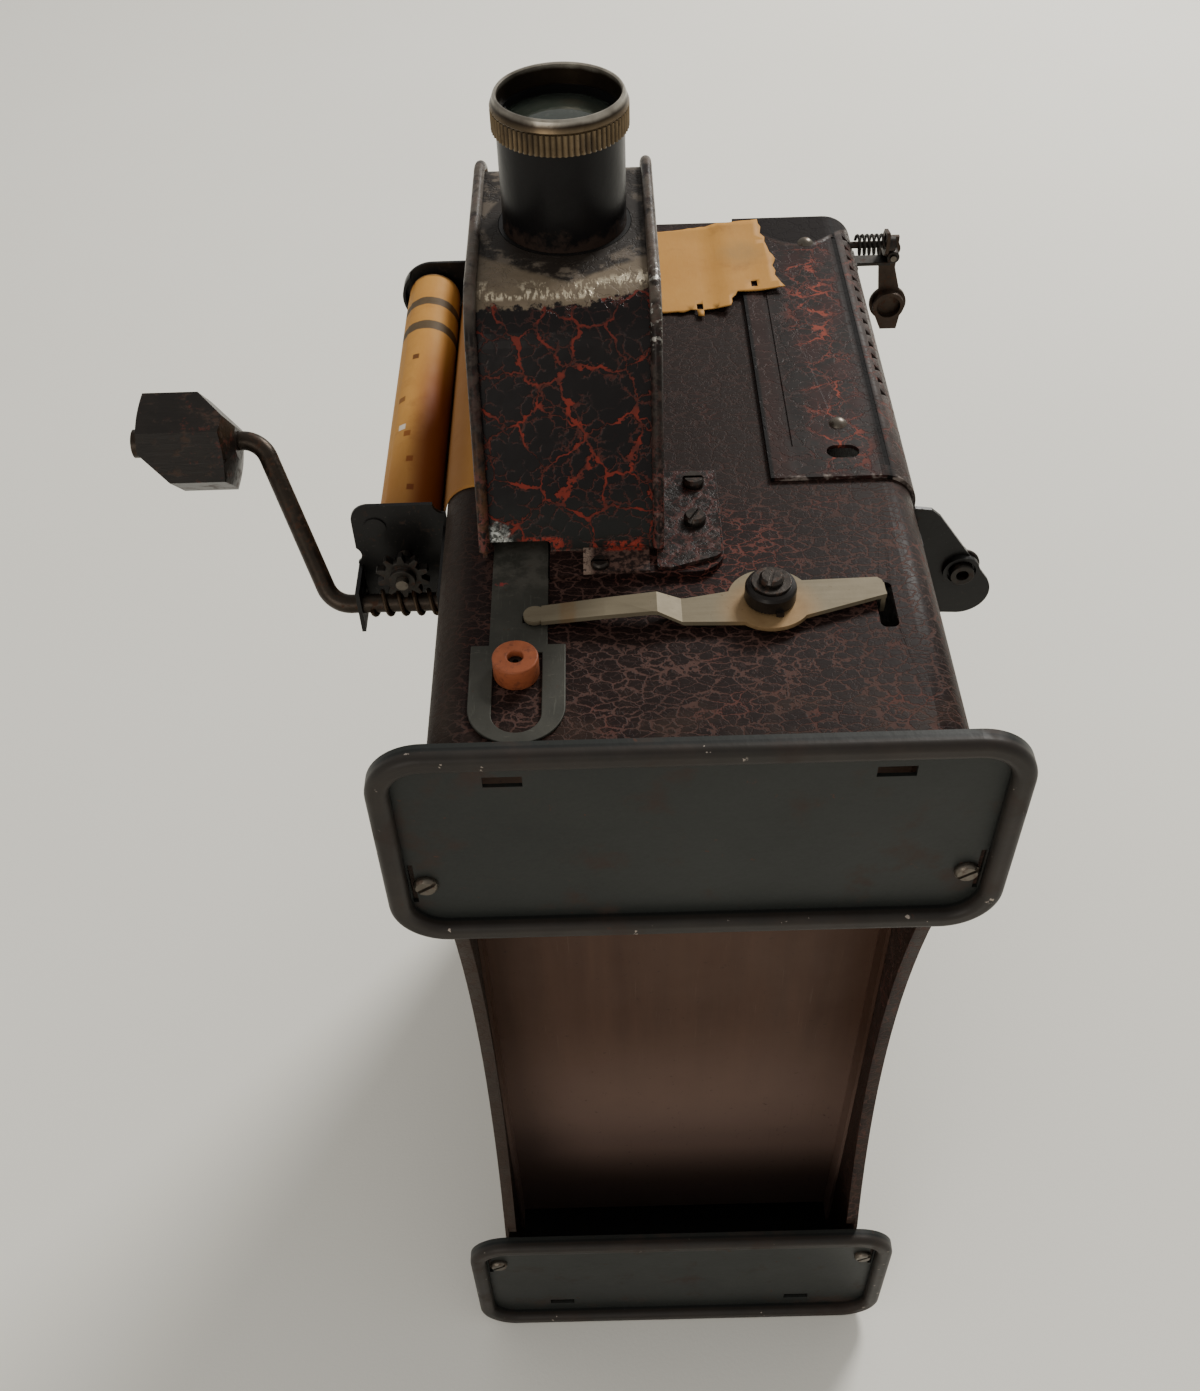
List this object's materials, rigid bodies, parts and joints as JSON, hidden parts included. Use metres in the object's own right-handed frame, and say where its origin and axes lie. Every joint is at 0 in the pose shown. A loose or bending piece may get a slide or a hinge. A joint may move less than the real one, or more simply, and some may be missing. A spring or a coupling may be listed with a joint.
{
  "type": "toy film projector",
  "caption": "Hand-cranked tinplate projector for wide paper film, with sliding lens tube, shutter lever, worm-driven take-up spool and two dished feet.",
  "frame": {"origin": "middle of the rear face of the case, which the projector stands on in the picture", "axes": "+Z from the back of the case to the lens, +X across the case away from the crank, +Y from the feet to the top of the case in use"},
  "size_m": [0.2143, 0.2097, 0.3901],
  "materials": {
    "case_paint": "crackle enamel, dark maroon",
    "box_paint": "gloss black enamel with open red crackle",
    "cover_paint": "gloss dark enamel with red crackle",
    "worn_paint": "worn dark enamel",
    "black_paint": "satin black enamel",
    "foot_paint": "dark enamel, rusty and chipped",
    "knob_paint": "turned wood with worn dark paint",
    "bare_plate": "browned tinplate",
    "dark_steel": "blackened steel",
    "old_steel": "old steel",
    "rusty_steel": "rusty steel",
    "nickel": "worn nickel plate",
    "brass": "aged brass",
    "bright_metal": "polished",
    "black_plastic": "moulded black plastic",
    "porcelain": "glazed ceramic",
    "fibre": "red vulcanised fibre",
    "card": "rolled card",
    "paper": "aged waxed paper",
    "glass": "old glass"
  },
  "bodies": {
    "case": {"main_shell": "case_paint", "underside_panel": "bare_plate", "top_panel": "black_paint", "rear_cover": "black_paint", "front_foot": "foot_paint", "rear_foot": "foot_paint", "foot_screws": "old_steel", "foot_nuts": "old_steel", "lens_box_base": "case_paint", "lens_box_strip": "box_paint", "lens_box_left_plate": "worn_paint", "lens_box_right_plate": "worn_paint", "lens_box_screws": "old_steel", "lens_collar": "black_paint", "roller_pin": "old_steel", "lever_bush": "black_plastic", "lever_washer": "old_steel", "lever_screw": "old_steel", "shaft_bush": "brass", "left_bracket": "black_paint", "upper_left_bracket": "black_paint", "bracket_rivets": "old_steel", "film_strip": "paper", "right_bracket": "black_paint", "lamp_bulb": "glass", "lamp_socket": "porcelain", "socket_bracket": "old_steel", "reflector": "bright_metal", "reflector_bracket": "old_steel", "condenser_lens": "glass", "condenser_holder": "old_steel", "cable_bush": "black_plastic"},
    "shutter": {"shutter_strap": "dark_steel"},
    "roller": {"strap_roller": "fibre"},
    "lever": {"rocker_lever": "nickel"},
    "crank": {"crank_wire": "rusty_steel", "worm": "dark_steel", "shaft_collar": "dark_steel"},
    "knob": {"crank_knob": "knob_paint"},
    "take_up": {"take_up_spindle": "old_steel", "worm_wheel": "dark_steel", "spool_core": "card", "film_roll": "paper"},
    "lens": {"lens_tube": "black_paint", "lens_ring": "brass", "front_lens": "glass", "rear_lens": "glass"},
    "cover": {"lamp_cover": "cover_paint", "cover_rivets": "old_steel", "retainer_base": "dark_steel", "retainer_pin": "old_steel", "retainer_screw": "dark_steel"},
    "arm": {"retainer_arm": "rusty_steel", "retainer_spring": "dark_steel"},
    "seat": {"supply_seat": "dark_steel"}
  },
  "joints": [
    {"name": "crank_spin", "type": "hinge", "parent": "case", "child": "crank", "pos_m": [-0.0567, -0.0295, 0.2786], "axis": [1, 0, 0], "continuous": true},
    {"name": "knob_spin", "type": "hinge", "parent": "crank", "child": "knob", "pos_m": [-0.12, 0.00035, 0.30743], "axis": [1, 0, 0], "continuous": true},
    {"name": "take_up_spin", "type": "hinge", "parent": "case", "child": "take_up", "pos_m": [-0.068, 0.0389, 0.28785], "axis": [0, 1, 0], "continuous": true},
    {"name": "lever_rock", "type": "hinge", "parent": "case", "child": "lever", "pos_m": [0.0176, -0.0633, 0.3073], "axis": [0, 0, 1], "range_deg": [-10.5, 0]},
    {"name": "shutter_slide", "type": "slide", "parent": "case", "child": "shutter", "axis": [0, 1, 0], "range_m": [0, 0.0097]},
    {"name": "roller_spin", "type": "hinge", "parent": "case", "child": "roller", "pos_m": [-0.0376, -0.082, 0.308], "axis": [0, 0, 1], "continuous": true},
    {"name": "lens_focus", "type": "slide", "parent": "case", "child": "lens", "axis": [0, 0, 1], "range_m": [-0.01, 0.012]},
    {"name": "cover_slide", "type": "slide", "parent": "case", "child": "cover", "axis": [0, 1, 0], "range_m": [0, 0.115]},
    {"name": "retainer_swing", "type": "hinge", "parent": "cover", "child": "arm", "pos_m": [0.0694, 0.0959, 0.2989], "axis": [0, -1, 0], "range_deg": [0, 25], "stiffness_Nm_per_rad": 0.02, "springref_deg": -17.19, "deforming": ["retainer_spring"]},
    {"name": "seat_spin", "type": "hinge", "parent": "case", "child": "seat", "pos_m": [0.0706, -0.0251, 0.2805], "axis": [0, 1, 0], "continuous": true}
  ],
  "couplings": [
    {"joint": "take_up_spin", "follows": "crank_spin", "ratio": 0.1},
    {"joint": "shutter_slide", "follows": "lever_rock", "m_per_rad": -0.0529}
  ]
}
